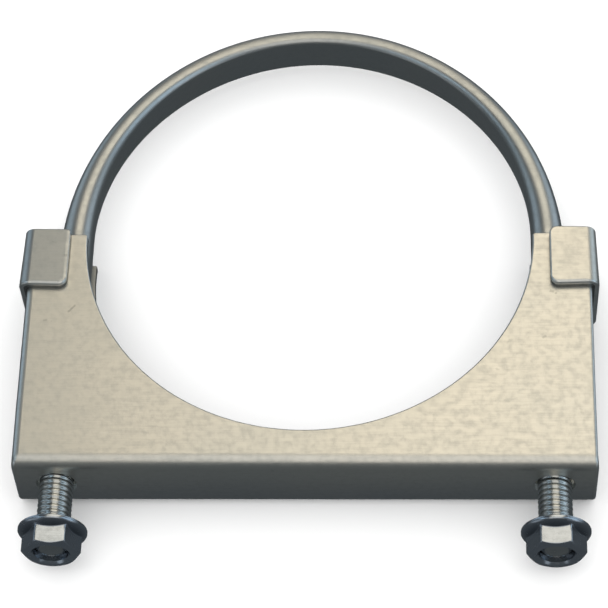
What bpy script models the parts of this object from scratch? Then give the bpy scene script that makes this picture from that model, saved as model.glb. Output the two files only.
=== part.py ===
"""Exhaust U-bolt clamp for 5-inch pipe: saddle, U-bolt and two hex flange nuts.

The clamp lies flat on the back of its saddle. +Z is the pipe's axis, +Y points
from the nuts to the bow, and the origin is the middle of the footprint.
"""

import math

import bmesh
import bpy
from mathutils import Matrix, Vector

MM = 0.001

# Pipe and U-bolt
PIPE_RADIUS = 63.5 * MM
ROD_RADIUS = 4.7625 * MM
LEG_X = PIPE_RADIUS + ROD_RADIUS
THREAD_RADIUS = 4.6 * MM
THREAD_TOP = -55.0 * MM
THREAD_RUNOUT = 2.0 * MM
ROD_END = -95.2 * MM
ROD_END_CHAMFER = 0.9 * MM
BOW_CENTRE = 7.5 * MM
BOW_RISE = 68.5 * MM
BOW_THICKNESS = 5.3 * MM
BOW_WIDTH = 13.8 * MM
BOW_SQUARENESS = 2.7
BOW_INNER_CROWN = 0.06
BOW_BLEND = 1.46
BOW_STATIONS = 44
SECTION_POINTS = 28

# Saddle, one folded sheet
SHEET = 2.4 * MM
SADDLE_DEPTH = 23.5 * MM
SADDLE_HALF_WIDTH = 79.8 * MM
FLOOR_Y = -74.6 * MM
FRONT_TOP = 1.0 * MM
REAR_TOP = 4.0 * MM
BEND_RADIUS = 3.5 * MM
LEG_HOLE_RADIUS = 5.6 * MM
MID_Z = SADDLE_DEPTH / 2

# Ears of the rear plate, folded round the sides and over the front plate
EAR_OUTER_X = 81.4 * MM
EAR_TIP_X = 68.2 * MM
EAR_REAR_RADIUS = 4.0 * MM
EAR_FRONT_RADIUS = 2.9 * MM
EAR_ROOT_X = 71.0 * MM
EAR_BOTTOM = (-16.4 * MM, -17.6 * MM)
EAR_TOP = (3.6 * MM, 1.2 * MM)
EAR_CORNER = 2.1 * MM
EAR_RELIEF = 1.2 * MM
EAR_FLARE = 0.55 * MM
EAR_LIFT = 0.02 * MM

# Nuts, hex with a coned flange
NUT_SEAT = -88.3 * MM
FLANGE_RADIUS = 9.525 * MM
FLANGE_RIM = 1.0 * MM
FLANGE_HEIGHT = 1.75 * MM
NUT_HEIGHT = 7.6 * MM
NUT_FLATS = 14.29 * MM
NUT_BORE = 4.9 * MM
NUT_MOUTH = 5.5 * MM
NUT_CHAMFER_RADIUS = 6.8 * MM
NUT_CHAMFER_SLOPE = math.tan(math.radians(30))
NUT_TURN = {"left": math.radians(-3.0), "right": math.radians(2.5)}
MESH_GAP = 0.3 * MM

# The footprint's middle is the origin, so the pipe's axis lies a little above it
BOW_TOP = BOW_CENTRE + BOW_RISE + BOW_THICKNESS
PIPE_Y = -(BOW_TOP + NUT_SEAT - NUT_HEIGHT) / 2

ARC_STEPS = 6
ROUND_STEPS = 48
WELD = 0.00001


def clear_scene():
    for item in list(bpy.data.objects):
        bpy.data.objects.remove(item)


def collection(name):
    group = bpy.data.collections.new(name)
    bpy.context.scene.collection.children.link(group)
    return group


def material(name, colour, roughness):
    made = bpy.data.materials.new(name)
    made.use_nodes = True
    shader = made.node_tree.nodes["Principled BSDF"]
    shader.inputs["Base Color"].default_value = (*colour, 1.0)
    shader.inputs["Metallic"].default_value = 1.0
    shader.inputs["Roughness"].default_value = roughness
    return made


def add_object(name, mesh, group, matrix=None):
    item = bpy.data.objects.new(name, mesh)
    group.objects.link(item)
    if matrix is not None:
        item.matrix_world = matrix
    return item


def cutter(item):
    item.hide_render = True
    item.display_type = "WIRE"
    return item


def boolean(item, tool, operation):
    step = item.modifiers.new(tool.name, "BOOLEAN")
    step.operation = operation
    step.solver = "EXACT"
    step.object = tool


def arc(centre, radius, start, end, steps=ARC_STEPS):
    """Points on a circular arc, angles in degrees."""
    points = []
    for index in range(steps + 1):
        angle = math.radians(start + (end - start) * index / steps)
        x = centre[0] + radius * math.cos(angle)
        y = centre[1] + radius * math.sin(angle)
        points.append((x, y))
    return points


def prism(name, outline, half_depth, matrix, group):
    """A flat outline in the local XY plane, thickened to both sides along Z."""
    curve = bpy.data.curves.new(name + "_outline", "CURVE")
    curve.dimensions = "2D"
    curve.fill_mode = "BOTH"
    curve.extrude = half_depth
    spline = curve.splines.new("POLY")
    spline.points.add(len(outline) - 1)
    for point, (x, y) in zip(spline.points, outline):
        point.co = (x, y, 0.0, 1.0)
    spline.use_cyclic_u = True
    guide = add_object(name + "_outline", curve, group)
    graph = bpy.context.evaluated_depsgraph_get()
    mesh = bpy.data.meshes.new_from_object(guide.evaluated_get(graph))
    mesh.name = name
    bpy.data.objects.remove(guide)
    shape = bmesh.new()
    shape.from_mesh(mesh)
    bmesh.ops.remove_doubles(shape, verts=shape.verts, dist=WELD)
    bmesh.ops.recalc_face_normals(shape, faces=shape.faces)
    shape.to_mesh(mesh)
    shape.free()
    return add_object(name, mesh, group, matrix)


def turned(name, profile, matrix, group):
    """A closed profile of (radius, height) points, spun round the local Z axis."""
    shape = bmesh.new()
    ring = [shape.verts.new((radius, 0.0, height)) for radius, height in profile]
    for first, second in zip(ring, ring[1:] + ring[:1]):
        shape.edges.new((first, second))
    mesh = bpy.data.meshes.new(name)
    shape.to_mesh(mesh)
    shape.free()
    item = add_object(name, mesh, group, matrix)
    spin = item.modifiers.new("spin", "SCREW")
    spin.steps = ROUND_STEPS
    spin.render_steps = ROUND_STEPS
    spin.use_merge_vertices = True
    spin.merge_threshold = WELD
    return item


def cylinder(name, radius, depth, matrix, group, segments=ROUND_STEPS):
    shape = bmesh.new()
    bmesh.ops.create_cone(
        shape,
        cap_ends=True,
        segments=segments,
        radius1=radius,
        radius2=radius,
        depth=depth,
    )
    mesh = bpy.data.meshes.new(name)
    shape.to_mesh(mesh)
    shape.free()
    return add_object(name, mesh, group, matrix)


def box(name, low, high, group):
    shape = bmesh.new()
    bmesh.ops.create_cube(shape, size=1.0)
    size = Vector(high) - Vector(low)
    middle = (Vector(high) + Vector(low)) / 2
    bmesh.ops.scale(shape, vec=size, verts=shape.verts)
    mesh = bpy.data.meshes.new(name)
    shape.to_mesh(mesh)
    shape.free()
    return add_object(name, mesh, group, Matrix.Translation(middle))


def axis_along_y(x, y, z, turn=0.0):
    """Placement that lays the local Z axis along -Y, turned about itself."""
    place = Matrix.Translation((x, y, z))
    return place @ Matrix.Rotation(math.radians(90), 4, "X") @ Matrix.Rotation(turn, 4, "Z")


def channel_outline():
    """Section of the folded channel: local X is the clamp's Y, local Y its Z."""
    inner = BEND_RADIUS - SHEET
    low = (FLOOR_Y + BEND_RADIUS, BEND_RADIUS)
    high = (FLOOR_Y + BEND_RADIUS, SADDLE_DEPTH - BEND_RADIUS)
    outline = [(FRONT_TOP, SADDLE_DEPTH)]
    outline += arc(high, BEND_RADIUS, 90, 180)
    outline += arc(low, BEND_RADIUS, 180, 270)
    outline += [(REAR_TOP, 0.0), (REAR_TOP, SHEET)]
    outline += arc(low, inner, 270, 180)
    outline += arc(high, inner, 180, 90)
    outline += [(FRONT_TOP, SADDLE_DEPTH - SHEET)]
    return outline


def ear_outline():
    """Section of the right ear: local X is the clamp's X, local Y its Z."""
    top = SADDLE_DEPTH + SHEET
    rear = (EAR_OUTER_X - EAR_REAR_RADIUS, EAR_REAR_RADIUS + EAR_LIFT)
    front = (EAR_OUTER_X - EAR_FRONT_RADIUS, top - EAR_FRONT_RADIUS)
    outline = [(EAR_ROOT_X, SHEET * 0.4)]
    outline += arc(rear, EAR_REAR_RADIUS, 270, 360)
    outline += arc(front, EAR_FRONT_RADIUS, 0, 90)
    outline += [(EAR_TIP_X, top), (EAR_TIP_X, SADDLE_DEPTH - SHEET / 2)]
    outline += [(EAR_OUTER_X - SHEET, SADDLE_DEPTH - SHEET / 2)]
    outline += arc(rear, EAR_REAR_RADIUS - SHEET, 360, 270)
    outline += [(EAR_ROOT_X, SHEET * 0.6)]
    return outline


def slant(height, ends):
    """Straight run of an ear's edge from the rear plate to the front tab."""
    share = height / (SADDLE_DEPTH + SHEET)
    return ends[0] + (ends[1] - ends[0]) * share


def flare(x):
    """How far the ear's lower edge stands out past its upper edge."""
    share = (x - EAR_ROOT_X) / (EAR_OUTER_X - EAR_ROOT_X)
    return EAR_FLARE * max(0.0, share)


def build_ear(side, group):
    """One ear, a prism along Y with slanted edges, a little wider at the bottom."""
    item = prism("ear_" + side, ear_outline(), 0.5, Matrix(), group)
    shape = bmesh.new()
    shape.from_mesh(item.data)
    sign = 1.0 if side == "right" else -1.0
    for vert in shape.verts:
        x, height, end = vert.co
        edge = EAR_TOP if end > 0 else EAR_BOTTOM
        out = 0.0 if end > 0 else flare(x)
        vert.co = (sign * (x + out), slant(height, edge), height)
    bmesh.ops.dissolve_limit(
        shape, angle_limit=math.radians(1), verts=shape.verts, edges=shape.edges
    )
    bmesh.ops.recalc_face_normals(shape, faces=shape.faces)
    corners = [
        edge
        for edge in shape.edges
        if all(abs(abs(vert.co.x) - EAR_TIP_X) < WELD for vert in edge.verts)
        and abs(edge.verts[0].co.z - edge.verts[1].co.z) > SHEET
    ]
    bmesh.ops.bevel(
        shape,
        geom=corners,
        offset=EAR_CORNER,
        segments=5,
        profile=0.5,
        affect="EDGES",
    )
    bmesh.ops.recalc_face_normals(shape, faces=shape.faces)
    shape.to_mesh(item.data)
    shape.free()
    item.location.y = PIPE_Y
    return cutter(item)


def build_saddle(parts, tools, metal):
    lay = Matrix.Translation((0.0, PIPE_Y, 0.0)) @ Matrix(
        ((0, 0, 1, 0), (1, 0, 0, 0), (0, 1, 0, 0), (0, 0, 0, 1))
    )
    saddle = prism("saddle", channel_outline(), SADDLE_HALF_WIDTH, lay, parts)
    centre = Matrix.Translation((0.0, PIPE_Y, MID_Z))
    pipe = cylinder("pipe_cut", PIPE_RADIUS, 60 * MM, centre, tools, 192)
    boolean(saddle, cutter(pipe), "DIFFERENCE")
    for side, sign in (("left", -1.0), ("right", 1.0)):
        hole_place = axis_along_y(sign * LEG_X, PIPE_Y + FLOOR_Y, MID_Z)
        hole = cylinder("leg_hole_" + side, LEG_HOLE_RADIUS, 12 * MM, hole_place, tools)
        boolean(saddle, cutter(hole), "DIFFERENCE")
        near = sign * (EAR_OUTER_X - EAR_REAR_RADIUS + SHEET / 4)
        far = sign * (EAR_OUTER_X + EAR_REAR_RADIUS)
        low = (min(near, far), PIPE_Y + EAR_BOTTOM[0] - EAR_RELIEF, -SHEET)
        high = (max(near, far), PIPE_Y + REAR_TOP + SHEET, EAR_REAR_RADIUS)
        relief = box("ear_relief_" + side, low, high, tools)
        boolean(saddle, cutter(relief), "DIFFERENCE")
        ear = build_ear(side, tools)
        boolean(saddle, ear, "UNION")
    saddle.data.materials.append(metal)
    return saddle


def rod_section(flatten):
    """Section points (outward, along Z); 0 is the round rod, 1 the flattened bow."""
    thickness = 2 * ROD_RADIUS + (BOW_THICKNESS - 2 * ROD_RADIUS) * flatten
    width = 2 * ROD_RADIUS + (BOW_WIDTH - 2 * ROD_RADIUS) * flatten
    power = 2 / BOW_SQUARENESS
    points = []
    for index in range(SECTION_POINTS):
        angle = 2 * math.pi * (index + 0.5) / SECTION_POINTS
        cosine, sine = math.cos(angle), math.sin(angle)
        across = math.copysign(abs(sine) ** power, sine)
        outward = abs(cosine) ** power if cosine > 0 else BOW_INNER_CROWN * cosine
        rise = (outward + BOW_INNER_CROWN) / (1 + BOW_INNER_CROWN)
        flat = (thickness * rise, width / 2 * across)
        round_rod = (thickness / 2 * (1 + cosine), width / 2 * sine)
        mixed = [a + (b - a) * flatten for a, b in zip(round_rod, flat)]
        points.append(mixed)
    return points


def leg_stations():
    """Heights and radii down one straight leg, from the bow to the domed end."""
    run = THREAD_TOP - THREAD_RUNOUT
    neck = ROD_END + ROD_END_CHAMFER
    tip = THREAD_RADIUS - ROD_END_CHAMFER
    return [
        (THREAD_TOP, ROD_RADIUS),
        (run, THREAD_RADIUS),
        (neck, THREAD_RADIUS),
        (ROD_END, tip),
    ]


def ring_on_leg(shape, sign, y, radius):
    ring = []
    for outward, across in rod_section(0.0):
        x = LEG_X + (outward - ROD_RADIUS) * radius / ROD_RADIUS
        z = MID_Z + across * radius / ROD_RADIUS
        ring.append(shape.verts.new((sign * x, y, z)))
    return ring


def ring_on_bow(shape, angle):
    """Ring at an angle round the bow, from the right leg to the left one."""
    cosine, sine = math.cos(angle), math.sin(angle)
    flatten = 1 - (1 - sine) ** BOW_BLEND
    base = Vector((PIPE_RADIUS * cosine, BOW_CENTRE + BOW_RISE * sine, MID_Z))
    normal = Vector((cosine / PIPE_RADIUS, sine / BOW_RISE, 0.0)).normalized()
    ring = []
    for outward, across in rod_section(flatten):
        point = base + normal * outward + Vector((0.0, 0.0, across))
        ring.append(shape.verts.new(point))
    return ring


def build_u_bolt(parts, metal):
    """The rod lofted from one threaded end over the flattened bow to the other."""
    shape = bmesh.new()
    legs = leg_stations()
    rings = [ring_on_leg(shape, 1.0, y, radius) for y, radius in reversed(legs)]
    for index in range(BOW_STATIONS + 1):
        rings.append(ring_on_bow(shape, math.pi * index / BOW_STATIONS))
    rings += [ring_on_leg(shape, -1.0, y, radius) for y, radius in legs]
    for lower, upper in zip(rings, rings[1:]):
        for index in range(SECTION_POINTS):
            after = (index + 1) % SECTION_POINTS
            corners = (lower[index], lower[after], upper[after], upper[index])
            shape.faces.new(corners)
    shape.faces.new(rings[0])
    shape.faces.new(rings[-1])
    bmesh.ops.recalc_face_normals(shape, faces=shape.faces)
    mesh = bpy.data.meshes.new("u_bolt")
    shape.to_mesh(mesh)
    shape.free()
    item = add_object("u_bolt", mesh, parts, Matrix.Translation((0.0, PIPE_Y, 0.0)))
    item.data.materials.append(metal)
    return item


def build_nut(side, sign, parts, tools, metal):
    """A nut in two solids: the coned flange, which travels, and the hex, which turns."""
    place = axis_along_y(sign * LEG_X, PIPE_Y + NUT_SEAT, MID_Z, NUT_TURN[side])
    corner = NUT_FLATS / 2 / math.cos(math.radians(30))
    flange_profile = [
        (FLANGE_RADIUS, FLANGE_RIM),
        (FLANGE_RADIUS, 0.0),
        (NUT_BORE, 0.0),
        (NUT_BORE, FLANGE_HEIGHT),
        (corner, FLANGE_HEIGHT),
    ]
    flange = turned("nut_" + side + "_flange", flange_profile, place, parts)
    flange.data.materials.append(metal)

    start = FLANGE_HEIGHT + MESH_GAP
    depth = NUT_HEIGHT - start
    middle = place @ Matrix.Translation((0.0, 0.0, start + depth / 2))
    twelfth = Matrix.Rotation(math.radians(30), 4, "Z")
    hexagon = cylinder("nut_" + side + "_hex", corner, depth, middle @ twelfth, parts, 6)
    slope = (corner + 0.3 * MM - NUT_CHAMFER_RADIUS) * NUT_CHAMFER_SLOPE
    keep = [
        (NUT_CHAMFER_RADIUS, NUT_HEIGHT),
        (corner + 0.3 * MM, NUT_HEIGHT - slope),
        (corner + 0.3 * MM, 0.0),
        (0.0, 0.0),
        (0.0, NUT_HEIGHT),
    ]
    guide = turned("chamfer_" + side, keep, place, tools)
    boolean(hexagon, cutter(guide), "INTERSECT")
    mouth = NUT_MOUTH - NUT_BORE
    hollow = [
        (NUT_MOUTH, NUT_HEIGHT + mouth),
        (NUT_MOUTH, NUT_HEIGHT),
        (NUT_BORE, NUT_HEIGHT - mouth),
        (NUT_BORE, -mouth),
        (0.0, -mouth),
        (0.0, NUT_HEIGHT + mouth),
    ]
    bore = turned("bore_" + side, hollow, place, tools)
    boolean(hexagon, cutter(bore), "DIFFERENCE")
    hexagon.data.materials.append(metal)
    return flange, hexagon


def main():
    clear_scene()
    parts = collection("exhaust_u_bolt_clamp")
    tools = collection("cutters")
    sheet_zinc = material("sheet_zinc", (0.62, 0.59, 0.53), 0.42)
    rod_zinc = material("rod_zinc", (0.50, 0.50, 0.49), 0.34)
    nut_zinc = material("nut_zinc", (0.55, 0.56, 0.58), 0.28)
    frame = bpy.data.objects.new("clamp_frame", None)
    parts.objects.link(frame)
    pieces = [build_saddle(parts, tools, sheet_zinc), build_u_bolt(parts, rod_zinc)]
    for side, sign in (("left", -1.0), ("right", 1.0)):
        pieces += build_nut(side, sign, parts, tools, nut_zinc)
    for piece in pieces:
        piece.parent = frame
        piece.data.shade_smooth()
        piece.data.set_sharp_from_angle(angle=math.radians(35))


main()
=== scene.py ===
"""Looks of the exhaust U-bolt clamp: a folded zinc-plated saddle, a U-bolt with
rolled threads and a flattened bow, and two hex flange nuts.

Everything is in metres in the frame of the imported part: +Z along the pipe, +Y from
the nuts to the bow. Lengths below are written in millimetres and scaled once.
"""

import math

import bmesh
import bpy
from mathutils import Matrix, Vector


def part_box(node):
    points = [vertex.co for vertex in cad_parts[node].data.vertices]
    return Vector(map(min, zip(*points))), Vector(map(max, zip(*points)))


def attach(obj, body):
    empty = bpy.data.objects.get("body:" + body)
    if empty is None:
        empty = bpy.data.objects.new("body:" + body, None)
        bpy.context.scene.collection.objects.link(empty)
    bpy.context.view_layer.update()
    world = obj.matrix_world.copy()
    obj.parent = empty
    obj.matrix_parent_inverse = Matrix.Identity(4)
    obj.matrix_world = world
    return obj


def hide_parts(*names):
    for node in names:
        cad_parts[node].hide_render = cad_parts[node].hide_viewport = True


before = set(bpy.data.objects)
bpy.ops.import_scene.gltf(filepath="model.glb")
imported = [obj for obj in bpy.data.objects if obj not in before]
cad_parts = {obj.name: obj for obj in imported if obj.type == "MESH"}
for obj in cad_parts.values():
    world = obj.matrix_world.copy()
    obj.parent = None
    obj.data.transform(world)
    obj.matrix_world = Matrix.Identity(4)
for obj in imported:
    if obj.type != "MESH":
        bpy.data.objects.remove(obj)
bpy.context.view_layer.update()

MM = 0.001
TINY = MM / 1000

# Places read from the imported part
SADDLE_LOW, SADDLE_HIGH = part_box("saddle")
ROD_LOW, ROD_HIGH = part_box("u_bolt")
FLANGE_LOW, FLANGE_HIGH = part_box("nut_left_flange")
HEX_LOW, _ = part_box("nut_left_hex")
MID_Z = (ROD_LOW.z + ROD_HIGH.z) / 2
FLOOR_Y = SADDLE_LOW.y
REAR_TOP = SADDLE_HIGH.y
NUT_SEAT = FLANGE_HIGH.y
NUT_END = HEX_LOW.y
ROD_END = ROD_LOW.y
BOW_TOP = ROD_HIGH.y
LEG_X = -(FLANGE_LOW.x + FLANGE_HIGH.x) / 2

# Saddle sheet
SHEET = 2.4 * MM
PIPE_RADIUS = 63.5 * MM
PIPE_Y = REAR_TOP - 4.0 * MM
CHANNEL_DEPTH = 2 * MID_Z
HALF_WIDTH = 79.6 * MM
HALF_WIDTH_IN_EAR = 78.9 * MM
HALF_WIDTH_AT_FOOT = 79.8 * MM
HALF_WIDTH_AT_BEND = 79.9 * MM
FRONT_TOP = PIPE_Y + 1.0 * MM
BEND_OUTER = 3.5 * MM
HORN_CORNER = 0.9 * MM
REAR_HORN_CORNER = 0.4 * MM
EDGE_BURR = 0.14 * MM
BURR_ROUND = 0.3
ROLL_STEPS = 6
TORN_DEPTH = 1.25 * MM
CORNER_STEPS = 8

# How the punch rolled each edge over: (reach across the face, drop down the edge)
SEAT_ROLL = (0.5 * MM, 0.5 * MM)
SIDE_ROLL = {1: (1.1 * MM, 0.7 * MM), -1: (2.1 * MM, 1.5 * MM)}
BEND_ROLL = (0.8 * MM, 0.8 * MM)
EAR_ROLL = (0.5 * MM, 0.5 * MM)
TAB_LOW_ROLL = (1.25 * MM, 1.0 * MM)
TAB_TIP_ROLL = {1: (0.5 * MM, 0.5 * MM), -1: (1.15 * MM, 0.32 * MM)}
HORN_ROLL = (0.45 * MM, 0.45 * MM)
REAR_HORN_ROLL = (0.35 * MM, 0.35 * MM)
SLIT_ROLL = (0.25 * MM, 0.25 * MM)
TAB_ROLL_START = 0.25
LEG_HOLE = 5.6 * MM
HOLE_FLARE = 0.35 * MM
HOLE_STEPS = 64

# The front plate's sides below the ears: (share of the way down, share of the extra width left)
SIDE_TAPER = ((0.25, 0.7), (0.5, 0.3), (0.75, 0.05))

# Ears, folded from the rear plate round the sides onto the front plate
EAR_FLARE = 0.55 * MM
EAR_OUTER = SADDLE_HIGH.x - EAR_FLARE
EAR_REAR_BEND = 4.0 * MM
EAR_FRONT_BEND = 2.9 * MM
EAR_TIP = 68.2 * MM
EAR_LOW = (PIPE_Y - 16.4 * MM, PIPE_Y - 17.6 * MM)
EAR_HIGH = (PIPE_Y + 3.9 * MM, PIPE_Y + 1.5 * MM)
EAR_HIGH_TIP = {1: PIPE_Y + 1.8 * MM, -1: PIPE_Y + 1.3 * MM}
EAR_TIP_CORNERS = {1: (2.3 * MM, 2.4 * MM), -1: (0.9 * MM, 2.4 * MM)}
EAR_SLIT = 1.2 * MM
EAR_CONTACT = 0.03 * MM


def smooth(value):
    value = min(1.0, max(0.0, value))
    return value * value * (3 - 2 * value)


def mesh_object(name, shape, *materials):
    mesh = bpy.data.meshes.new(name)
    shape.to_mesh(mesh)
    shape.free()
    item = bpy.data.objects.new(name, mesh)
    bpy.context.scene.collection.objects.link(item)
    for made in materials:
        mesh.materials.append(made)
    mesh.shade_smooth()
    return item


def arc(centre, radius, start, end, steps):
    """Points round a centre, angles in degrees."""
    points = []
    for index in range(steps + 1):
        angle = math.radians(start + (end - start) * index / steps)
        points.append((centre[0] + radius * math.cos(angle), centre[1] + radius * math.sin(angle)))
    return points


def rounded(before, corner, after, radius, steps=6):
    """Points that round a corner between two straight runs."""
    corner = Vector(corner)
    back = (Vector(before) - corner).normalized()
    ahead = (Vector(after) - corner).normalized()
    half = back.angle(ahead) / 2
    reach = radius / math.tan(half)
    middle = corner + (back + ahead).normalized() * radius / math.sin(half)
    start = corner + back * reach - middle
    turn = start.angle_signed(corner + ahead * reach - middle)
    points = []
    for index in range(steps + 1):
        spin = Matrix.Rotation(-turn * index / steps, 2)
        points.append(tuple(middle + spin @ start))
    return points


# ---------------------------------------------------------------- saddle

BEND_MID = BEND_OUTER - SHEET / 2
BEND_LENGTH = math.pi / 2 * BEND_MID
BEND_Y = FLOOR_Y + BEND_OUTER
FLOOR_RUN = CHANNEL_DEPTH - 2 * BEND_OUTER
REAR_START = 2 * BEND_LENGTH + FLOOR_RUN
EAR_START = EAR_OUTER - EAR_REAR_BEND
EAR_REAR_LENGTH = math.pi / 2 * (EAR_REAR_BEND - SHEET / 2)
EAR_FRONT_LENGTH = math.pi / 2 * (EAR_FRONT_BEND - SHEET / 2)
EAR_WALL = CHANNEL_DEPTH + SHEET - EAR_REAR_BEND - EAR_FRONT_BEND
EAR_TAB = EAR_OUTER - EAR_FRONT_BEND - EAR_TIP
EAR_END = EAR_START + EAR_REAR_LENGTH + EAR_WALL + EAR_FRONT_LENGTH + EAR_TAB
DRAW_START = 52.0 * MM
DRAW_FRONT_START = 38.0 * MM
DRAW_RUN = 26.0 * MM
DRAW_REACH = 11.0 * MM
DRAW_REAR = 0.5 * MM
DRAW_FRONT = 0.95 * MM
ARC_STEPS = 72
FACE_FLATNESS = 0.95
BEND_CUTS = 12


def on_front(y):
    """Path position of a height on the front plate."""
    return BEND_Y - y


def on_rear(y):
    """Path position of a height on the rear plate."""
    return REAR_START + y - BEND_Y


def with_roll(points, roll):
    """Gives each point of the pattern its edge roll."""
    return [(x, path, roll) for x, path in points]


def blend_roll(points, first, second):
    """Points whose edge roll passes evenly from one to another."""
    made = []
    for index, place in enumerate(points):
        share = index / (len(points) - 1)
        roll = tuple(a + (b - a) * share for a, b in zip(first, second))
        made += with_roll([place], roll)
    return made


def front_outline(side):
    """From the middle of the front seat round its horn and down the side to the rear plate."""
    horn = math.degrees(math.asin((FRONT_TOP - PIPE_Y) / PIPE_RADIUS))
    seat = arc((0.0, PIPE_Y), PIPE_RADIUS, -90, horn, ARC_STEPS)
    points = with_roll([(x, on_front(y)) for x, y in seat[:-1]], SEAT_ROLL)
    top = on_front(FRONT_TOP)
    inner = (seat[-1][0], top)
    outer = (HALF_WIDTH_IN_EAR, top)
    ear_foot = on_front(EAR_LOW[1] + SHEET / 2)
    side_roll = SIDE_ROLL[side]
    points += with_roll(rounded(points[-1][:2], inner, outer, HORN_CORNER), HORN_ROLL)
    corner = rounded(inner, outer, (HALF_WIDTH_IN_EAR, 0.0), HORN_CORNER)
    points += with_roll([*corner, (HALF_WIDTH_IN_EAR, ear_foot)], HORN_ROLL)
    points += with_roll([(HALF_WIDTH_AT_FOOT, ear_foot + SHEET / 4)], side_roll)
    run = -ear_foot
    for share, width in SIDE_TAPER:
        x = HALF_WIDTH + (HALF_WIDTH_AT_FOOT - HALF_WIDTH) * width
        points += with_roll([(x, ear_foot + run * share)], side_roll)
    points += with_roll([(HALF_WIDTH, 0.0)], side_roll)
    bends = [
        (HALF_WIDTH_AT_BEND, BEND_LENGTH),
        (HALF_WIDTH_AT_BEND, BEND_LENGTH + FLOOR_RUN),
        (HALF_WIDTH, REAR_START + SHEET),
    ]
    return points + with_roll(bends, BEND_ROLL)


def ear_outline(side):
    """From the relief slit under an ear, along its lower edge, round its tip and back."""
    low_root = on_rear(EAR_LOW[0])
    low_tip = on_rear(EAR_LOW[1])
    high_tip = on_rear(EAR_HIGH_TIP[side])
    slit = EAR_SLIT / 2
    slit_end = (EAR_START - SHEET / 4, low_root - slit)
    low_left = (EAR_START, low_root)
    low_right = (EAR_END, low_tip)
    high_right = (EAR_END, high_tip)
    fold_x = EAR_END - EAR_TAB - EAR_FRONT_LENGTH
    high_fold = (fold_x, on_rear(EAR_HIGH[1]))
    high_left = (EAR_START, on_rear(EAR_HIGH[0]))
    share = (fold_x - EAR_START) / (EAR_END - EAR_START)
    low_fold = (fold_x, low_root + (low_tip - low_root) * share)
    rise = (low_tip - low_root) * SHEET / (EAR_END - EAR_START)
    wall = (fold_x - SHEET, low_fold[1] - rise)
    low_tab = Vector(low_fold).lerp(Vector(low_right), TAB_ROLL_START)

    points = with_roll([(HALF_WIDTH, low_root - EAR_SLIT)], SLIT_ROLL)
    points += with_roll(arc(slit_end, slit, 270, 90, 8), SLIT_ROLL)
    points += with_roll([low_left], SLIT_ROLL)
    points += with_roll([wall, low_fold], EAR_ROLL)
    points += with_roll([tuple(low_tab)], TAB_LOW_ROLL)
    high_corner, low_corner = EAR_TIP_CORNERS[side]
    corner = rounded(low_left, low_right, high_right, low_corner, CORNER_STEPS)
    points += blend_roll(corner, TAB_LOW_ROLL, TAB_TIP_ROLL[side])
    corner = rounded(low_right, high_right, high_fold, high_corner, CORNER_STEPS)
    points += blend_roll(corner, TAB_TIP_ROLL[side], EAR_ROLL)
    return points + with_roll([high_fold, high_left], EAR_ROLL)


def rear_outline():
    """From the ear's upper root along the rear plate's horn to the middle of its seat."""
    horn = math.degrees(math.asin((REAR_TOP - PIPE_Y) / PIPE_RADIUS))
    seat = arc((0.0, PIPE_Y), PIPE_RADIUS, horn, -90, ARC_STEPS)
    ear_root = (EAR_START, on_rear(EAR_HIGH[0]))
    inner = (seat[0][0], on_rear(REAR_TOP))
    below = (seat[1][0], on_rear(seat[1][1]))
    points = with_roll(rounded(ear_root, inner, below, REAR_HORN_CORNER), REAR_HORN_ROLL)
    return points + with_roll([(x, on_rear(y)) for x, y in seat[1:]], SEAT_ROLL)


def half_pattern(side):
    """Right half of the saddle's flat pattern, as (across, path, edge roll) points."""
    return front_outline(side) + ear_outline(side) + rear_outline()


def bend(share, radius):
    """How far along and down a quarter bend a share of it reaches."""
    angle = math.radians(90) * share
    return radius * math.sin(angle), radius * math.cos(angle)


def fold_channel(s, t):
    """(y, z) of a point at path position s and depth t under the inner face."""
    inner = BEND_OUTER - SHEET + t
    high = CHANNEL_DEPTH - BEND_OUTER
    if s <= 0:
        return BEND_Y - s, high + inner
    if s <= BEND_LENGTH:
        down, up = bend(s / BEND_LENGTH, inner)
        return BEND_Y - down, high + up
    if s <= BEND_LENGTH + FLOOR_RUN:
        return BEND_Y - inner, high - (s - BEND_LENGTH)
    if s <= REAR_START:
        up, down = bend((s - BEND_LENGTH - FLOOR_RUN) / BEND_LENGTH, inner)
        return BEND_Y - down, BEND_OUTER - up
    return BEND_Y + s - REAR_START, BEND_OUTER - inner


def fold_ear(u, t):
    """(x, z) of a point u past the start of the ear's first bend."""
    rear = EAR_REAR_BEND - SHEET + t
    if u <= EAR_REAR_LENGTH:
        out, down = bend(u / EAR_REAR_LENGTH, rear)
        return EAR_START + out, EAR_REAR_BEND - down
    u -= EAR_REAR_LENGTH
    if u <= EAR_WALL:
        return EAR_START + rear, EAR_REAR_BEND + u
    u -= EAR_WALL
    lifted = EAR_CONTACT + t * (SHEET - EAR_CONTACT) / SHEET
    front = EAR_FRONT_BEND - SHEET + lifted
    height = CHANNEL_DEPTH + SHEET - EAR_FRONT_BEND
    if u <= EAR_FRONT_LENGTH:
        up, out = bend(u / EAR_FRONT_LENGTH, front)
        return EAR_OUTER - EAR_FRONT_BEND + out, height + up
    u -= EAR_FRONT_LENGTH
    return EAR_OUTER - EAR_FRONT_BEND - u, height + front


def flare(x, y):
    """How far an ear leans outwards, most at its lower outer corner."""
    out = (x - EAR_START) / (EAR_OUTER - EAR_START)
    down = (EAR_HIGH[1] - y) / (EAR_HIGH[1] - EAR_LOW[1])
    return EAR_FLARE * min(1.0, max(0.0, out)) * min(1.0, max(0.0, down))


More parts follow.
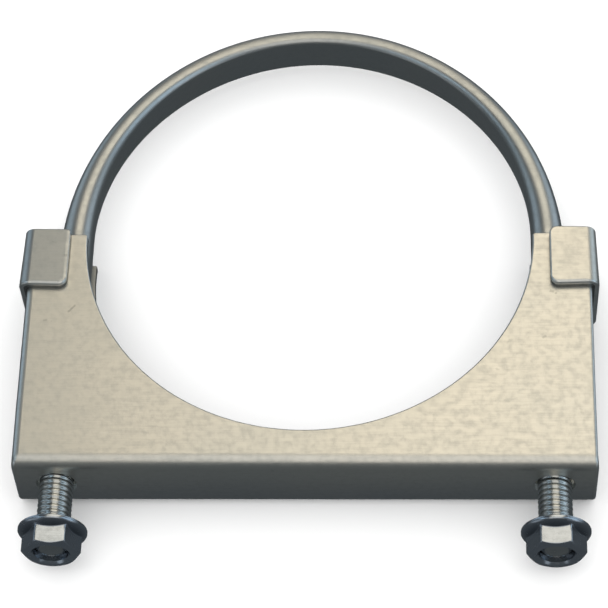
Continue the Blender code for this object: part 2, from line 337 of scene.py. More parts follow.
def draw_in(x, s, y, z):
    """The bends' ends, drawn in a little: the rear one at both ends, the front one at the left."""
    rear = smooth((abs(x) - DRAW_START) / DRAW_RUN)
    rear *= 1 - smooth(abs(s - REAR_START + BEND_LENGTH / 2) / DRAW_REACH)
    front = smooth((-x - DRAW_FRONT_START) / DRAW_RUN)
    front *= 1 - smooth(abs(s - BEND_LENGTH * 0.6) / DRAW_REACH)
    y += DRAW_REAR * rear + DRAW_FRONT * front
    z += DRAW_REAR * rear - DRAW_FRONT * front
    return y, z


def fold(point):
    """Where a point of the flat sheet, (across, path, depth), lies on the folded saddle."""
    across, s, t = point
    y, z = draw_in(across, s, *fold_channel(s, t))
    u = abs(across) - EAR_START
    if u <= 0 or s < REAR_START:
        return Vector((across, y, z))
    x, z = fold_ear(u, t)
    return Vector((math.copysign(x + flare(x, y), across), y, z))


def everywhere(face):
    return True


def on_ears(face):
    return all(vert.co.y > REAR_START - TINY for vert in face.verts)


def cut_across(shape, axis, place, wanted):
    """Adds an edge loop where the flat sheet crosses a plane."""
    faces = [face for face in shape.faces if wanted(face)]
    edges = {edge for face in faces for edge in face.edges}
    verts = {vert for face in faces for vert in face.verts}
    spot = Vector((0.0, 0.0, 0.0))
    spot[axis] = place
    normal = Vector((0.0, 0.0, 0.0))
    normal[axis] = 1.0
    bmesh.ops.bisect_plane(
        shape,
        geom=[*faces, *edges, *verts],
        plane_co=spot,
        plane_no=normal,
        dist=TINY,
    )


def inward(outline):
    """Mitred inward direction at each point of an anticlockwise outline."""
    count = len(outline)
    normals = []
    for index in range(count):
        run = Vector(outline[(index + 1) % count][:2]) - Vector(outline[index][:2])
        normals.append(Vector((-run.y, run.x)).normalized())
    turned = []
    for index in range(count):
        both = normals[index - 1] + normals[index]
        turned.append(both / (1 + normals[index - 1].dot(normals[index])))
    return turned


def signed_area(outline):
    total = 0.0
    for first, second in zip(outline, outline[1:] + outline[:1]):
        total += first[0] * second[1] - second[0] * first[1]
    return total / 2


def sheet_blank():
    """The flat blank, with rolled-over edges outside and a small burr inside."""
    outline = half_pattern(1)
    left = [(-x, path, roll) for x, path, roll in half_pattern(-1)[1:-1]]
    outline += left[::-1]
    if signed_area(outline) < 0:
        outline.reverse()
    turned = inward(outline)
    levels = [(0.0, EDGE_BURR), (BURR_ROUND * EDGE_BURR, BURR_ROUND * EDGE_BURR)]
    levels += [(EDGE_BURR, 0.0), (TORN_DEPTH, 0.0)]
    shape = bmesh.new()
    rings = [blank_ring(shape, outline, turned, depth, inset) for depth, inset in levels]
    for step in range(ROLL_STEPS + 1):
        angle = math.pi / 2 * step / ROLL_STEPS
        down, along = 1 - math.sin(angle), 1 - math.cos(angle)
        rings.append(blank_ring(shape, outline, turned, SHEET, 0.0, down, along))
    skin(shape, rings)
    return shape


def blank_ring(shape, outline, turned, depth, inset, down=0.0, along=0.0):
    """One ring round the blank's edge; down and along are shares of each point's roll."""
    ring = []
    for (x, path, roll), way in zip(outline, turned):
        level = depth - down * roll[1]
        reach = inset + along * roll[0]
        ring.append(shape.verts.new((x + way.x * reach, path + way.y * reach, level)))
    return ring


def edge_slot(face):
    """0 for the sheet's faces, 1 for its cut edge, 2 for the torn part of the edge."""
    if abs(face.normal.z) > FACE_FLATNESS:
        return 0
    return 2 if face.calc_center_median().z < TORN_DEPTH else 1


def build_saddle(face_metal, edge_metal, torn_metal):
    shape = sheet_blank()
    for start in (0.0, BEND_LENGTH + FLOOR_RUN):
        for index in range(BEND_CUTS + 1):
            cut_across(shape, 1, start + BEND_LENGTH * index / BEND_CUTS, everywhere)
    runs = (
        (EAR_START, EAR_REAR_LENGTH),
        (EAR_START + EAR_REAR_LENGTH + EAR_WALL, EAR_FRONT_LENGTH),
    )
    for start, length in runs:
        for index in range(BEND_CUTS + 1):
            for sign in (1, -1):
                place = sign * (start + length * index / BEND_CUTS)
                cut_across(shape, 0, place, on_ears)
    for face in shape.faces:
        face.normal_update()
        face.material_index = edge_slot(face)
    for vert in shape.verts:
        vert.co = fold(vert.co)
    bmesh.ops.recalc_face_normals(shape, faces=shape.faces)
    item = mesh_object("saddle_sheet", shape, face_metal, edge_metal, torn_metal)
    for sign in (1, -1):
        cut_hole(item, sign * LEG_X)
    soften(item)
    return item


def cut_hole(item, x):
    """A punched hole in the saddle's floor, a little flared at both faces.

    The tool runs on past the inner face, so that it leaves nothing across the hole.
    """
    low = FLOOR_Y - HOLE_FLARE
    high = FLOOR_Y + SHEET + HOLE_FLARE
    profile = [
        (LEG_HOLE + 2 * HOLE_FLARE, low),
        (LEG_HOLE, low + 2 * HOLE_FLARE),
        (LEG_HOLE, high - 2 * HOLE_FLARE),
        (LEG_HOLE + 2 * HOLE_FLARE, high),
        (LEG_HOLE + 2 * HOLE_FLARE, high + SHEET),
    ]
    shape = bmesh.new()
    rings = []
    for radius, y in profile:
        ring = []
        for index in range(HOLE_STEPS):
            angle = 2 * math.pi * index / HOLE_STEPS
            z = MID_Z + radius * math.sin(angle)
            ring.append(shape.verts.new((x + radius * math.cos(angle), y, z)))
        rings.append(ring)
    skin(shape, rings)
    tool = mesh_object("hole_tool", shape)
    cut = item.modifiers.new("hole", "BOOLEAN")
    cut.object = tool
    cut.operation = "DIFFERENCE"
    graph = bpy.context.evaluated_depsgraph_get()
    mesh = bpy.data.meshes.new_from_object(item.evaluated_get(graph))
    item.modifiers.remove(cut)
    item.data = mesh
    bpy.data.objects.remove(tool)


def soften(item, sharp=38):
    """Smooth shading that keeps wide faces flat, and edges past the sharp angle hard."""
    item.data.set_sharp_from_angle(angle=math.radians(sharp))
    weigh = item.modifiers.new("flat_faces", "WEIGHTED_NORMAL")
    weigh.mode = "FACE_AREA"
    weigh.weight = 90
    weigh.keep_sharp = True


def skin(shape, rings):
    """Quads between successive rings, with both ends filled."""
    count = len(rings[0])
    for lower, upper in zip(rings, rings[1:]):
        for index in range(count):
            after = (index + 1) % count
            shape.faces.new((lower[index], lower[after], upper[after], upper[index]))
    shape.faces.new(rings[0])
    shape.faces.new(rings[-1])
    bmesh.ops.recalc_face_normals(shape, faces=shape.faces)


# ---------------------------------------------------------------- U-bolt

ROD_RADIUS = LEG_X - PIPE_RADIUS
BOW_CENTRE = PIPE_Y + 7.5 * MM
BOW_THICKNESS = 5.3 * MM
BOW_WIDTH = ROD_HIGH.z - ROD_LOW.z
BOW_RISE = BOW_TOP - BOW_CENTRE - BOW_THICKNESS
BOW_NARROWING = 0.8 * MM
BOW_DROOP = 1.9 * MM
BOW_CORNER = 2.05 * MM
BOW_CROWN = 3.2
BOW_BLEND = 1.46
BOW_STATIONS = 150
SECTION_POINTS = 64
PITCH = 1.5875 * MM
CREST = ROD_RADIUS - 0.06 * MM
ROOT = CREST - 0.20 * PITCH
THREAD_TOP = PIPE_Y - 55.0 * MM
THREAD_FADE = 2.2 * MM
GROOVE_WIDTH = 0.80
GROOVE_FLANK = 0.72
END_DOME = 0.5 * MM
END_RADIUS = 3.3 * MM
END_SLOPE = 1.0
END_STEPS = 5
ROWS_PER_PITCH = 12
PLAIN_ROWS = 16
ROD_SHARP_ANGLE = 50


def rod_section(flatten):
    """Section points (outward, along Z); 0 is the round rod, 1 the flattened bow."""
    half = ROD_RADIUS + (BOW_THICKNESS / 2 - ROD_RADIUS) * flatten
    wide = ROD_RADIUS + ((BOW_WIDTH - BOW_NARROWING) / 2 - ROD_RADIUS) * flatten
    corner = ROD_RADIUS + (BOW_CORNER - ROD_RADIUS) * flatten
    points = []
    for index in range(SECTION_POINTS):
        angle = 2 * math.pi * (index + 0.5) / SECTION_POINTS
        cosine, sine = math.cos(angle), math.sin(angle)
        rise = math.copysign(min(1.0, BOW_CROWN * abs(cosine)), cosine)
        across = math.copysign(min(1.0, BOW_CROWN * abs(sine)), sine)
        outward = half + (half - corner) * rise + corner * cosine
        points.append((outward, (wide - corner) * across + corner * sine))
    return points


def bow_ring(shape, angle):
    """One ring of the bow, flatter the nearer it is to the top."""
    cosine, sine = math.cos(angle), math.sin(angle)
    flatten = 1 - (1 - sine) ** BOW_BLEND
    base = Vector((PIPE_RADIUS * cosine, BOW_CENTRE + BOW_RISE * sine, MID_Z))
    normal = Vector((cosine / PIPE_RADIUS, sine / BOW_RISE, 0.0)).normalized()
    ring = []
    for outward, across in rod_section(flatten):
        point = base + normal * outward + Vector((0.0, 0.0, across))
        ring.append(shape.verts.new(point))
    return ring


def thread_depth(phase):
    """Share of full depth at a place across one pitch: flat crest, rounded root."""
    reach = abs((phase % 1.0) - 0.5) * 2
    return smooth((GROOVE_WIDTH - reach) / GROOVE_FLANK)


def leg_ring(shape, sign, y):
    """One ring of the leg: plain above the thread, helical below, domed at the end."""
    fade = smooth((THREAD_TOP - y) / THREAD_FADE)
    above_end = y - (ROD_END + END_DOME)
    limit = END_RADIUS + max(0.0, above_end) * END_SLOPE
    ring = []
    for index in range(SECTION_POINTS):
        angle = 2 * math.pi * (index + 0.5) / SECTION_POINTS
        cosine, sine = math.cos(angle), math.sin(angle)
        turned = math.atan2(sine, sign * cosine) / (2 * math.pi)
        depth = thread_depth((y / PITCH) - turned) * (CREST - ROOT)
        radius = ROD_RADIUS + (CREST - depth - ROD_RADIUS) * fade
        radius = min(radius, limit)
        x = sign * (LEG_X + radius * cosine)
        ring.append(shape.verts.new((x, y, MID_Z + radius * sine)))
    return ring


def end_rings(shape, sign):
    """The shallow dome that closes a threaded end, from its tip outwards."""
    rings = []
    for index in range(1, END_STEPS + 1):
        share = index / (END_STEPS + 1)
        y = ROD_END + END_DOME * share * share
        radius = END_RADIUS * share
        ring = []
        for point in range(SECTION_POINTS):
            angle = 2 * math.pi * (point + 0.5) / SECTION_POINTS
            x = sign * (LEG_X + radius * math.cos(angle))
            ring.append(shape.verts.new((x, y, MID_Z + radius * math.sin(angle))))
        rings.append(ring)
    return rings


def leg_rings(shape, sign):
    """Rings from the domed end up to the bow."""
    rings = end_rings(shape, sign)
    start = ROD_END + END_DOME
    length = THREAD_TOP - start
    rows = round(length / PITCH * ROWS_PER_PITCH)
    for row in range(rows + 1):
        rings.append(leg_ring(shape, sign, start + length * row / rows))
    for row in range(1, PLAIN_ROWS):
        y = THREAD_TOP + (BOW_CENTRE - THREAD_TOP) * row / PLAIN_ROWS
        rings.append(leg_ring(shape, sign, y))
    return rings


def build_u_bolt(metal):
    """The whole rod; it droops a little towards the bow, as the holes' slack lets it."""
    shape = bmesh.new()
    rings = leg_rings(shape, 1)
    for index in range(BOW_STATIONS + 1):
        rings.append(bow_ring(shape, math.pi * index / BOW_STATIONS))
    rings += leg_rings(shape, -1)[::-1]
    skin(shape, rings)
    for vert in shape.verts:
        reach = (vert.co.y - FLOOR_Y) / (BOW_TOP - FLOOR_Y)
        vert.co.z -= BOW_DROOP * max(0.0, reach)
    item = mesh_object("u_bolt_rod", shape, metal)
    item.data.set_sharp_from_angle(angle=math.radians(ROD_SHARP_ANGLE))
    return item


# ---------------------------------------------------------------- nuts

FLANGE_RADIUS = (FLANGE_HIGH.x - FLANGE_LOW.x) / 2
FLANGE_RIM = 0.95 * MM
CONE_HEIGHT = 2.55 * MM
CONE_CURVE = 0.9
CONE_RINGS = 6
NUT_HEIGHT = NUT_SEAT - NUT_END
HALF_FLATS = 7.145 * MM
CORNER_SHARPNESS = 70
NUT_BORE = 4.84 * MM
NUT_MOUTH = 5.35 * MM
FACE_RADIUS = 6.75 * MM
CHAMFER_SLOPE = math.tan(math.radians(30))
CHAMFER_RINGS = 4
NUT_ROUND = 0.22 * MM
FACE_LIP = 0.12 * MM
FACE_EDGE = 0.3 * MM
MOUTH_EDGE = 0.1 * MM
NUT_TURN = {1: math.radians(2.5), -1: math.radians(-3.0)}
SECTOR_STEPS = 18
CORNER_BUNCHING = 0.8
NUT_SHARP_ANGLE = 30


def sector_angles():
    """Angles round the nut, closer together near the six corners."""
    angles = []
    for sector in range(6):
        for index in range(SECTOR_STEPS):
            share = index / SECTOR_STEPS
            eased = share - math.sin(2 * math.pi * share) / (2 * math.pi) * CORNER_BUNCHING
            angles.append(math.radians(60 * (sector + eased)))
    return angles


def hex_radius(angle):
    """Distance to the hexagon's side, with slightly rounded corners. Corners at 0, 60..."""
    total = 0.0
    for side in range(6):
        across = math.cos(angle - math.radians(30 + 60 * side))
        total += max(0.0, across) ** CORNER_SHARPNESS
    return HALF_FLATS / total ** (1 / CORNER_SHARPNESS)


def cone_height(radius):
    """Height of the flange's coned face above the seat."""
    share = (FLANGE_RADIUS - radius) / (FLANGE_RADIUS - HALF_FLATS)
    return FLANGE_RIM + (CONE_HEIGHT - FLANGE_RIM) * share ** CONE_CURVE


def nut_profile(angle):
    """(radius, height above the seat) points from the bore's foot round the outside."""
    side = hex_radius(angle)
    chamfer = NUT_HEIGHT - max(0.0, side - FACE_RADIUS) * CHAMFER_SLOPE
    foot = cone_height(side)
    edge = FLANGE_RADIUS
    points = [
        (NUT_MOUTH, 0.0),
        (edge - NUT_ROUND, 0.0),
        (edge - NUT_ROUND * 0.3, NUT_ROUND * 0.3),
        (edge, NUT_ROUND),
        (edge, FLANGE_RIM - NUT_ROUND),
        (edge - NUT_ROUND * 0.3, FLANGE_RIM - NUT_ROUND * 0.3),
    ]
    run = edge - NUT_ROUND - side - NUT_ROUND
    for index in range(CONE_RINGS):
        radius = edge - NUT_ROUND - run * index / (CONE_RINGS - 1)
        points.append((radius, cone_height(radius)))
    points += [
        (side + NUT_ROUND * 0.3, foot + NUT_ROUND * 0.35),
        (side, foot + NUT_ROUND),
        (side, (foot + chamfer) / 2),
        (side, chamfer - NUT_ROUND * 0.5),
        (side - NUT_ROUND * 0.4, chamfer + NUT_ROUND * 0.1),
    ]
    for index in range(1, CHAMFER_RINGS + 1):
        radius = side + (FACE_RADIUS - side) * index / CHAMFER_RINGS
        height = chamfer + (NUT_HEIGHT - chamfer) * index / CHAMFER_RINGS
        points.append((min(radius, side - NUT_ROUND * 0.5), height))
    depth = NUT_MOUTH - NUT_BORE
    points += [
        (FACE_RADIUS - FACE_EDGE, NUT_HEIGHT),
        (NUT_MOUTH + FACE_LIP, NUT_HEIGHT),
        (NUT_MOUTH, NUT_HEIGHT - MOUTH_EDGE),
        (NUT_BORE, NUT_HEIGHT - MOUTH_EDGE - depth),
        (NUT_BORE, depth),
    ]
    return points


def build_nut(side, sign, metal):
    """One nut in one mesh: its profile, which changes round the hex, swept once round the leg."""
    shape = bmesh.new()
    columns = []
    for angle in sector_angles():
        turned = angle + NUT_TURN[sign]
        column = []
        for radius, height in nut_profile(angle):
            x = sign * LEG_X + radius * math.cos(turned)
            z = MID_Z + radius * math.sin(turned)
            column.append(shape.verts.new((x, NUT_SEAT - height, z)))
        columns.append(column)
    count = len(columns[0])
    for first, second in zip(columns, columns[1:] + columns[:1]):
        for index in range(count):
            after = (index + 1) % count
            shape.faces.new((first[index], first[after], second[after], second[index]))
    bmesh.ops.recalc_face_normals(shape, faces=shape.faces)
    item = mesh_object("nut_" + side, shape, metal)
    soften(item, NUT_SHARP_ANGLE)
    return item


# ---------------------------------------------------------------- materials


class Nodes:
    """A material's node tree, with short calls for the nodes that it needs."""

    def __init__(self, name):
        self.material = bpy.data.materials.new(name)
        self.material.use_nodes = True
        self.tree = self.material.node_tree
        self.shader = self.tree.nodes["Principled BSDF"]
        spots = self.add("ShaderNodeTexCoord")
        self.place = spots.outputs["Object"]
        self.facing = spots.outputs["Normal"]

    def add(self, kind, **settings):
        node = self.tree.nodes.new(kind)
        for key, value in settings.items():
            setattr(node, key, value)
        return node

    def join(self, source, target):
        self.tree.links.new(source, target)

    def apart(self, vector):
        """The X, Y and Z outputs of a vector."""
        node = self.add("ShaderNodeSeparateXYZ")
        self.join(vector, node.inputs["Vector"])
        return node.outputs

    def stretch(self, scale, turn=(0.0, 0.0, 0.0)):
        node = self.add("ShaderNodeMapping")
        node.inputs["Scale"].default_value = scale
        node.inputs["Rotation"].default_value = [math.radians(angle) for angle in turn]
        self.join(self.place, node.inputs["Vector"])
        return node.outputs["Vector"]

    def noise(self, scale, detail, rough=0.55, vector=None):
        node = self.add("ShaderNodeTexNoise")
        node.inputs["Scale"].default_value = scale
        node.inputs["Detail"].default_value = detail
        node.inputs["Roughness"].default_value = rough
        self.join(vector or self.place, node.inputs["Vector"])
        return node.outputs["Fac"]

    def span(self, value, low, high, to_low=0.0, to_high=1.0):
        node = self.add("ShaderNodeMapRange")
        node.interpolation_type = "SMOOTHSTEP"
        keys = ("From Min", "From Max", "To Min", "To Max")
        for key, number in zip(keys, (low, high, to_low, to_high)):
            node.inputs[key].default_value = number
        self.join(value, node.inputs["Value"])
        return node.outputs["Result"]

    def maths(self, operation, first, second):
        node = self.add("ShaderNodeMath", operation=operation)
        for socket, value in zip(node.inputs, (first, second)):
            if isinstance(value, (int, float)):
                socket.default_value = value
            else:
                self.join(value, socket)
        return node.outputs["Value"]

    def blend(self, share, first, second, mode="MIX"):
        node = self.add("ShaderNodeMix", data_type="RGBA", blend_type=mode)
        sockets = {socket.identifier: socket for socket in node.inputs}
        pairs = (("Factor_Float", share), ("A_Color", first), ("B_Color", second))
        for key, value in pairs:
            if isinstance(value, (int, float)):
                sockets[key].default_value = value
            elif isinstance(value, tuple):
                sockets[key].default_value = (*value, 1.0)
            else:
                self.join(value, sockets[key])
        return next(s for s in node.outputs if s.identifier == "Result_Color")

    def bump(self, height, strength, distance, normal=None):
        node = self.add("ShaderNodeBump")
        node.inputs["Strength"].default_value = strength
        node.inputs["Distance"].default_value = distance
        self.join(height, node.inputs["Height"])
        if normal is not None:
            self.join(normal, node.inputs["Normal"])
        return node.outputs["Normal"]


def near(made, place, size, turn=0.0):
    """1 inside a soft-edged box at a place of the part, fading to 0 outside it."""
    node = made.add("ShaderNodeMapping", vector_type="TEXTURE")
    node.inputs["Location"].default_value = place
    node.inputs["Rotation"].default_value = (0.0, 0.0, math.radians(turn))
    node.inputs["Scale"].default_value = size
    made.join(made.place, node.inputs["Vector"])
    parts = made.apart(node.outputs["Vector"])
    share = 1.0
    for axis in "XYZ":
        reach = made.maths("ABSOLUTE", parts[axis], 0.0)
        share = made.maths("MULTIPLY", share, made.span(reach, 0.4, 0.6, 1.0, 0.0))
    return share


class Zinc(Nodes):
    """Dull zinc plate: faintly clouded colour, satin grain, fine scratches and specks."""

    def __init__(self, name, base, warm, dark, rough, grain=1.0, bumps=1.0):
        super().__init__(name)
        cloud = self.noise(28.0, 3.0)
        mottle = self.noise(520.0, 5.0, 0.6)
        fine = self.noise(2600.0, 3.0)
        lay = self.stretch((120.0, 2400.0, 2400.0))
        brushed = self.noise(1.0, 3.0, 0.6, lay)
        long_lay = self.stretch((60.0, 1500.0, 1500.0), (0, 0, 37))
        cross_lay = self.stretch((50.0, 1300.0, 1300.0), (0, 0, -58))
        scratch_a = self.span(self.noise(1.0, 2.0, 0.5, long_lay), 0.74, 0.80)
        scratch_b = self.span(self.noise(1.0, 2.0, 0.5, cross_lay), 0.75, 0.81)
        scratches = self.maths("MAXIMUM", scratch_a, scratch_b)
        speck = self.noise(310.0, 2.0, 0.5)
        colour = self.blend(self.span(cloud, 0.35, 0.65), base, warm)
        colour = self.blend(self.span(mottle, 0.40, 0.72, 0.0, 0.22 * grain), colour, dark)
        colour = self.blend(self.span(brushed, 0.40, 0.75, 0.0, 0.15 * grain), colour, dark)
        colour = self.blend(self.span(speck, 0.70, 0.78, 0.0, 0.35 * grain), colour, dark)
        colour = self.blend(self.maths("MULTIPLY", scratches, 0.25), colour, (0.9, 0.89, 0.86))
        self.colour = colour
        gloss = self.span(mottle, 0.35, 0.70, rough - 0.02, rough + 0.05)
        gloss = self.maths("ADD", gloss, self.span(brushed, 0.3, 0.7, -0.02, 0.02))
        height = self.maths("MULTIPLY", fine, 0.3)
        height = self.maths("ADD", height, self.maths("MULTIPLY", brushed, 0.5))
        height = self.maths("ADD", height, self.maths("MULTIPLY", mottle, 0.5))
        self.height = self.maths("SUBTRACT", height, self.maths("MULTIPLY", scratches, 0.5))
        self.gloss = gloss
        self.swell = cloud
        self.bumps = bumps
        self.shader.inputs["Metallic"].default_value = 1.0

    def tint(self, share, colour):
        self.colour = self.blend(share, self.colour, colour, "MULTIPLY")

    def dent(self, share, depth):
        self.height = self.maths("SUBTRACT", self.height, self.maths("MULTIPLY", share, depth))

    def polish(self, share, amount):
        self.gloss = self.maths("SUBTRACT", self.gloss, self.maths("MULTIPLY", share, amount))

    def finish(self):
        self.join(self.gloss, self.shader.inputs["Roughness"])
        self.join(self.colour, self.shader.inputs["Base Color"])
        normal = self.bump(self.height, 0.25 * self.bumps, 0.012 * MM)
        normal = self.bump(self.swell, 0.35, 0.2 * MM, normal)
        self.join(normal, self.shader.inputs["Normal"])
        return self.material


def rod_zinc():
    """The U-bolt's metal, shinier where the thread was rolled."""
    base, warm, dark = (0.49, 0.50, 0.495), (0.51, 0.51, 0.495), (0.35, 0.36, 0.36)
    made = Zinc("rod_zinc_plate", base, warm, dark, 0.36, 0.8, 0.6)
    threads = near(made, (0.0, ROD_END, MID_Z), (1.0, 2.4 * (THREAD_TOP - ROD_END), 1.0))
    made.polish(threads, 0.14)
    return made.finish()


# Marks on the front plate: x, y from the pipe's axis, length, width, turn, shade
MARKS = (
    (-66.4, -24.2, 3.0, 0.55, 50.0, 0.78),
    (-73.6, -28.2, 1.1, 0.5, 10.0, 0.84),
    (68.5, -18.9, 1.2, 0.8, -20.0, 0.80),
    (69.6, -19.6, 0.7, 0.5, 30.0, 0.80),
    (66.0, -34.0, 1.3, 0.6, 40.0, 0.88),
    (-68.9, -7.8, 1.2, 0.7, 10.0, 0.72),
)


def sheet_zinc():
    """The saddle's faces, with the few marks that handling left on it, painted shade on the left
    ear's tab and painted shade on the floor towards the rear plate.
    """
    base, warm, dark = (0.69, 0.67, 0.62), (0.72, 0.69, 0.63), (0.50, 0.49, 0.45)
    made = Zinc("sheet_zinc_plate", base, warm, dark, 0.38)
    front = CHANNEL_DEPTH
    # Painted shade: the left ear's tab is darkened and cooled, standing in for the shade of its
    # slight tilt away from the lights.
    tab_middle = (-(EAR_TIP + EAR_OUTER) / 2, PIPE_Y - 7.0 * MM, front + SHEET)
    painted_tab_shade = near(made, tab_middle, (14.4 * MM, 24.0 * MM, 2.2 * MM))
    made.tint(painted_tab_shade, (0.70, 0.735, 0.79))
    # Painted shade: the floor plate is darkened and cooled towards the rear plate, standing in for
    # its dimmer reflection there.
    low = made.span(made.apart(made.place)["Z"], 3.0 * MM, 20.0 * MM, 1.0, 0.0)
    floor = near(made, (0.0, FLOOR_Y, MID_Z), (1.0, 5.0 * MM, 0.1))
    made.tint(made.maths("MULTIPLY", low, floor), (0.72, 0.74, 0.80))
    for x, y, length, width, turn, shade in MARKS:
        place = (x * MM, PIPE_Y + y * MM, front)
        mark = near(made, place, (length * MM, width * MM, 2 * SHEET), turn)
        made.tint(mark, (shade, shade, shade))
        made.dent(mark, 3.0)
    return made.finish()


def edge_zinc():
    """The sheet's edges, where the punch burnished them."""
    base, warm, dark = (0.64, 0.645, 0.63), (0.66, 0.65, 0.62), (0.44, 0.45, 0.45)
    return Zinc("sheet_zinc_edge", base, warm, dark, 0.36).finish()


def torn_zinc():
    """The rough, darker part of the sheet's edges, where the metal tore."""
    base, warm, dark = (0.19, 0.195, 0.19), (0.22, 0.22, 0.21), (0.11, 0.115, 0.12)
    return Zinc("sheet_zinc_torn", base, warm, dark, 0.5, 1.6, 3.0).finish()


def nut_zinc():
    """The nuts' metal, with painted shade darkening the flange's cone where it runs down to the
    hex.
    """
    base, warm, dark = (0.42, 0.455, 0.51), (0.44, 0.465, 0.51), (0.33, 0.35, 0.37)
    made = Zinc("nut_zinc_plate", base, warm, dark, 0.22, 0.7, 0.4)
    height = made.apart(made.place)["Y"]
    # Painted shade: the cone's faces are darkened next to the hex, where shade gathers at its
    # root.
    cone = made.span(made.apart(made.facing)["Y"], -0.6, -0.35, 1.0, 0.0)
    root, rim = NUT_SEAT - CONE_HEIGHT, NUT_SEAT - FLANGE_RIM
    above = made.span(height, root - 0.6 * MM, root - 0.3 * MM)
    deep = made.span(height, root, rim + 0.2 * MM, 1.0, 0.1)
    shade = made.maths("MULTIPLY", made.maths("MULTIPLY", cone, above), deep)
    made.tint(shade, (0.34, 0.36, 0.38))
    return made.finish()


# ---------------------------------------------------------------- the model

SHEET_ZINC = sheet_zinc()
EDGE_ZINC = edge_zinc()
TORN_ZINC = torn_zinc()
ROD_ZINC = rod_zinc()
NUT_ZINC = nut_zinc()


def build_clamp():
    saddle = build_saddle(SHEET_ZINC, EDGE_ZINC, TORN_ZINC)
    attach(saddle, "saddle")
    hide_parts("saddle")
    rod = build_u_bolt(ROD_ZINC)
    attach(rod, "u_bolt")
    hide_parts("u_bolt")
    for side, sign in (("left", -1), ("right", 1)):
        nut = build_nut(side, sign, NUT_ZINC)
        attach(nut, "nut_" + side + "_turning")
        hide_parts("nut_" + side + "_flange", "nut_" + side + "_hex")


# ---------------------------------------------------------------- studio

CAMERA_PLACE = Vector((36.09, -410.53, 639.32)) * MM
CAMERA_PITCH = math.radians(32.664)
CAMERA_YAW = math.radians(2.894)
CAMERA_ROLL = math.radians(0.150)
CAMERA_LENS = 154.61
STAGE_CENTRE = Vector((0.0, 0.0, 0.01))
STAGE_HALF = 3.0
STAGE_STEPS = 12
STAGE_DROP = 0.05 * MM
DOME_GLOW = 1.5
ROOM_GLOW = 0.13
ROOM_COLOUR = (0.68, 0.78, 0.84, 1.0)

# Panels of light: name, degrees across, height, distance, size, glow, colour. The height
# is in degrees from the +Y horizon over the top.
SOFTBOXES = (
    ("key", 6.5, 61.0, 1.6, (1.02, 1.0), 1.53, (1.0, 0.915, 0.74)),
    ("overhead", 1.0, 115.0, 1.3, (0.85, 1.55), 1.02, (1.0, 0.96, 0.88)),
    ("back_wall", 0.0, 17.0, 1.8, (1.7, 0.95), 0.24, (0.95, 0.98, 1.0)),
    ("left_back", -51.0, 25.0, 1.4, (1.0, 1.0), 0.60, (0.66, 0.85, 1.0)),
    ("right_back", 51.0, 25.0, 1.4, (1.0, 1.0), 0.80, (0.70, 0.86, 1.0)),
    ("left_side", -40.0, 108.0, 1.3, (1.0, 0.42), 1.05, (0.62, 0.83, 1.0)),
    ("right_side", 49.0, 110.0, 1.3, (1.0, 1.0), 1.0, (0.62, 0.83, 1.0)),
    ("left_front", -50.0, 160.0, 1.4, (1.1, 0.55), 0.50, (0.86, 0.94, 1.0)),
    ("right_front", 50.0, 160.0, 1.4, (1.1, 0.55), 0.50, (0.86, 0.94, 1.0)),
)


def build_camera():
    data = bpy.data.cameras.new("photo_camera")
    camera = bpy.data.objects.new("photo_camera", data)
    bpy.context.scene.collection.objects.link(camera)
    data.sensor_width = 36.0
    data.lens = CAMERA_LENS
    data.clip_start = 0.01
    data.clip_end = 50.0
    right = Vector((1.0, 0.0, 0.0))
    up = Vector((0.0, math.cos(CAMERA_PITCH), math.sin(CAMERA_PITCH)))
    ahead = Vector((0.0, math.sin(CAMERA_PITCH), -math.cos(CAMERA_PITCH)))
    yaw = Matrix.Rotation(CAMERA_YAW, 3, up)
    right, ahead = yaw @ right, yaw @ ahead
    roll = Matrix.Rotation(CAMERA_ROLL, 3, ahead)
    right, up = roll @ right, roll @ up
    turn = Matrix((right, up, -ahead)).transposed()
    camera.matrix_world = Matrix.Translation(CAMERA_PLACE) @ turn.to_4x4()
    bpy.context.scene.camera = camera


def area_light(name, place, target, size, power, colour):
    data = bpy.data.lights.new(name, "AREA")
    data.shape = "RECTANGLE"
    data.size, data.size_y = size
    data.energy = power
    data.color = colour
    light = bpy.data.objects.new(name, data)
    light.location = place
    away = Vector(place) - Vector(target)
    light.rotation_euler = away.to_track_quat("Z", "Y").to_euler()
    bpy.context.scene.collection.objects.link(light)
    light.visible_diffuse = False


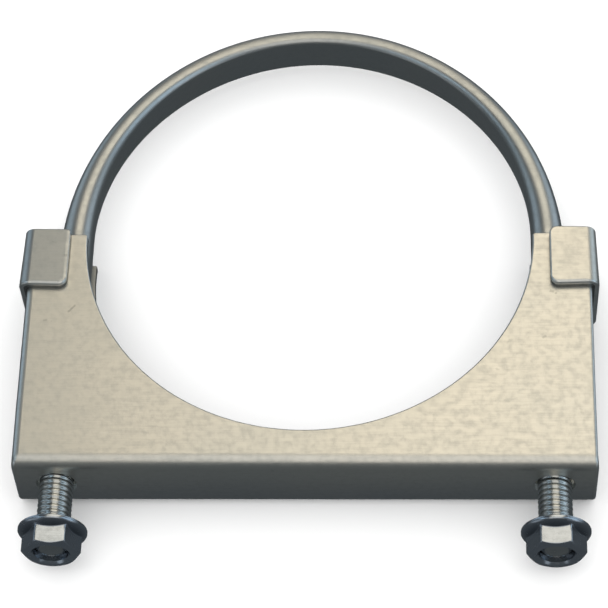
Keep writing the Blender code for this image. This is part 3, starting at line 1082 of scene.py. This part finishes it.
def build_floor():
    shape = bmesh.new()
    step = 2 * STAGE_HALF / STAGE_STEPS
    places = [-STAGE_HALF + step * index for index in range(STAGE_STEPS + 1)]
    grid = [[shape.verts.new((x, y, 0.0)) for x in places] for y in places]
    for lower, upper in zip(grid, grid[1:]):
        for index in range(STAGE_STEPS):
            shape.faces.new((lower[index], lower[index + 1], upper[index + 1], upper[index]))
    made = Nodes("pale_floor")
    tone = made.blend(made.noise(6.0, 3.0), (0.90, 0.90, 0.90), (0.93, 0.93, 0.925))
    made.join(tone, made.shader.inputs["Base Color"])
    made.shader.inputs["Roughness"].default_value = 0.9
    made.shader.inputs["Specular IOR Level"].default_value = 0.0
    floor = mesh_object("floor", shape, made.material)
    floor.location.z = -STAGE_DROP
    floor.visible_glossy = False


def build_world():
    """White for the camera and the pale floor, a dim room in reflections."""
    world = bpy.data.worlds.new("studio")
    bpy.context.scene.world = world
    world.use_nodes = True
    nodes, links = world.node_tree.nodes, world.node_tree.links
    nodes.clear()
    path = nodes.new("ShaderNodeLightPath")
    pale = nodes.new("ShaderNodeBackground")
    pale.inputs["Color"].default_value = (1.0, 1.0, 1.0, 1.0)
    pale.inputs["Strength"].default_value = DOME_GLOW
    room = nodes.new("ShaderNodeBackground")
    room.inputs["Color"].default_value = ROOM_COLOUR
    room.inputs["Strength"].default_value = ROOM_GLOW
    mix = nodes.new("ShaderNodeMixShader")
    out = nodes.new("ShaderNodeOutputWorld")
    links.new(path.outputs["Is Glossy Ray"], mix.inputs["Fac"])
    links.new(pale.outputs["Background"], mix.inputs[1])
    links.new(room.outputs["Background"], mix.inputs[2])
    links.new(mix.outputs["Shader"], out.inputs["Surface"])


def softbox(name, across, height, distance, size, glow, colour):
    """A lit panel facing the clamp."""
    side, up = math.radians(across), math.radians(height)
    way = Vector((math.sin(side), math.cos(side) * math.cos(up), math.cos(side) * math.sin(up)))
    place = STAGE_CENTRE + way * distance
    power = glow * math.pi * size[0] * size[1]
    area_light(name, place, STAGE_CENTRE, size, power, colour)


def build_studio():
    build_camera()
    build_floor()
    build_world()
    bpy.context.scene.view_settings.view_transform = "Standard"
    for panel in SOFTBOXES:
        softbox(*panel)


build_clamp()
build_studio()
